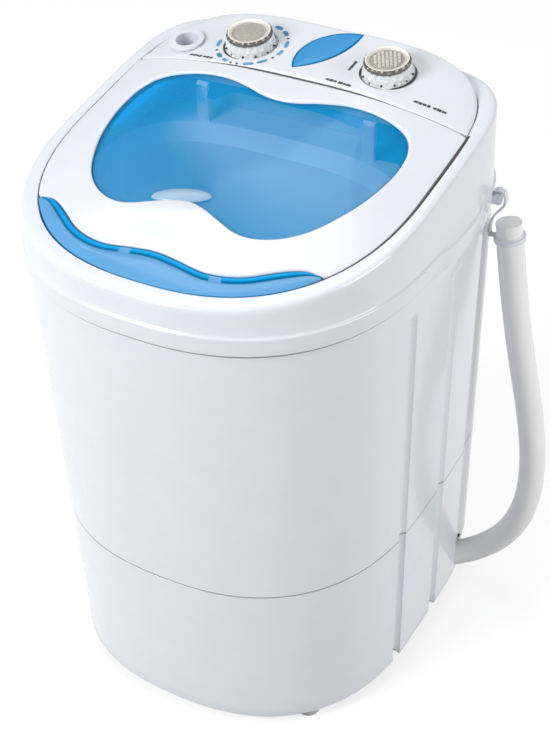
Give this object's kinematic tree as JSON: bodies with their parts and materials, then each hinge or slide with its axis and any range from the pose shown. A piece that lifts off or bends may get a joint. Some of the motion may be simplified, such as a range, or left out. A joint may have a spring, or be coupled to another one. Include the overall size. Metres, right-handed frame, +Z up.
{
  "type": "mini washing machine",
  "caption": "Small white top-loading washing machine with a blue window lid on a rear hinge, two rotary controls, a belt-driven pulsator in its tub and a grey drain hose at its side.",
  "frame": {"origin": "on the floor, under the middle of the casing without the hose", "axes": "+Z up, +Y to the machine's rear, +X to the side with the drain hose"},
  "size_m": [0.4466, 0.388, 0.5889],
  "materials": {
    "white_plastic": "gloss",
    "tub_plastic": "gloss",
    "blue_clear_plastic": "gloss",
    "knob_plastic": "gloss",
    "knob_disc_plastic": "satin",
    "bright_metal": "polished",
    "steel": "satin",
    "grey_plastic": "satin",
    "aluminium": "satin",
    "pale_rubber": "matte",
    "dark_rubber": "matte",
    "hose_plastic": "matte",
    "dark_plastic": "satin"
  },
  "bodies": {
    "cabinet": {"base_shell": "white_plastic", "body_shell": "white_plastic", "top_frame": "white_plastic", "control_panel": "white_plastic", "rear_cover": "white_plastic", "rear_cover_screws": "steel", "cord_gland": "dark_rubber", "base_plate": "grey_plastic", "feet": "pale_rubber", "wash_tub": "tub_plastic", "bearing_housing": "grey_plastic", "shaft_seal": "dark_rubber", "drive_belt": "dark_rubber", "motor": "aluminium", "motor_bracket": "steel", "capacitor": "dark_plastic", "drain_pipe": "grey_plastic", "drain_strainer": "tub_plastic", "hose_outlet": "white_plastic", "drain_hose": "hose_plastic", "hose_end": "hose_plastic", "hose_strap": "white_plastic", "strap_tab": "white_plastic", "inlet_cup": "white_plastic", "indicator_lens": "blue_clear_plastic", "wash_timer": "grey_plastic", "mode_switch": "grey_plastic", "wiring_loom": "dark_rubber"},
    "lid": {"lid_frame": "white_plastic", "lid_pane": "blue_clear_plastic", "lid_hinge_pins": "steel"},
    "agitator": {"pulsator": "tub_plastic", "pulsator_screw": "steel", "drive_shaft": "steel", "driven_pulley": "grey_plastic"},
    "motor_rotor": {"motor_pulley": "aluminium", "motor_shaft": "steel"},
    "wash_knob": {"wash_knob_shaft": "steel", "wash_knob_skirt": "knob_plastic", "wash_knob_bezel": "bright_metal", "wash_knob_disc": "knob_disc_plastic"},
    "mode_knob": {"mode_knob_shaft": "steel", "mode_knob_skirt": "knob_plastic", "mode_knob_bezel": "bright_metal", "mode_knob_disc": "knob_disc_plastic"}
  },
  "joints": [
    {"name": "lid_hinge", "type": "hinge", "parent": "cabinet", "child": "lid", "pos_m": [0, 0.0945, 0.56173], "axis": [-1, 0, 0], "range_deg": [0, 100]},
    {"name": "pulsator_spin", "type": "hinge", "parent": "cabinet", "child": "agitator", "pos_m": [0, -0.02, 0.2], "axis": [0, 0, 1], "continuous": true},
    {"name": "motor_spin", "type": "hinge", "parent": "cabinet", "child": "motor_rotor", "pos_m": [-0.078, 0.092, 0.14], "axis": [0, 0, 1], "continuous": true},
    {"name": "wash_timer_turn", "type": "hinge", "parent": "cabinet", "child": "wash_knob", "pos_m": [-0.068, 0.1325, 0.57073], "axis": [0, 0.1478, -0.989], "range_deg": [0, 300]},
    {"name": "mode_switch_turn", "type": "hinge", "parent": "cabinet", "child": "mode_knob", "pos_m": [0.073, 0.137, 0.57115], "axis": [0, 0.1478, -0.989], "range_deg": [-60, 60]}
  ],
  "couplings": [
    {"joint": "motor_spin", "follows": "pulsator_spin", "ratio": 3.2}
  ]
}
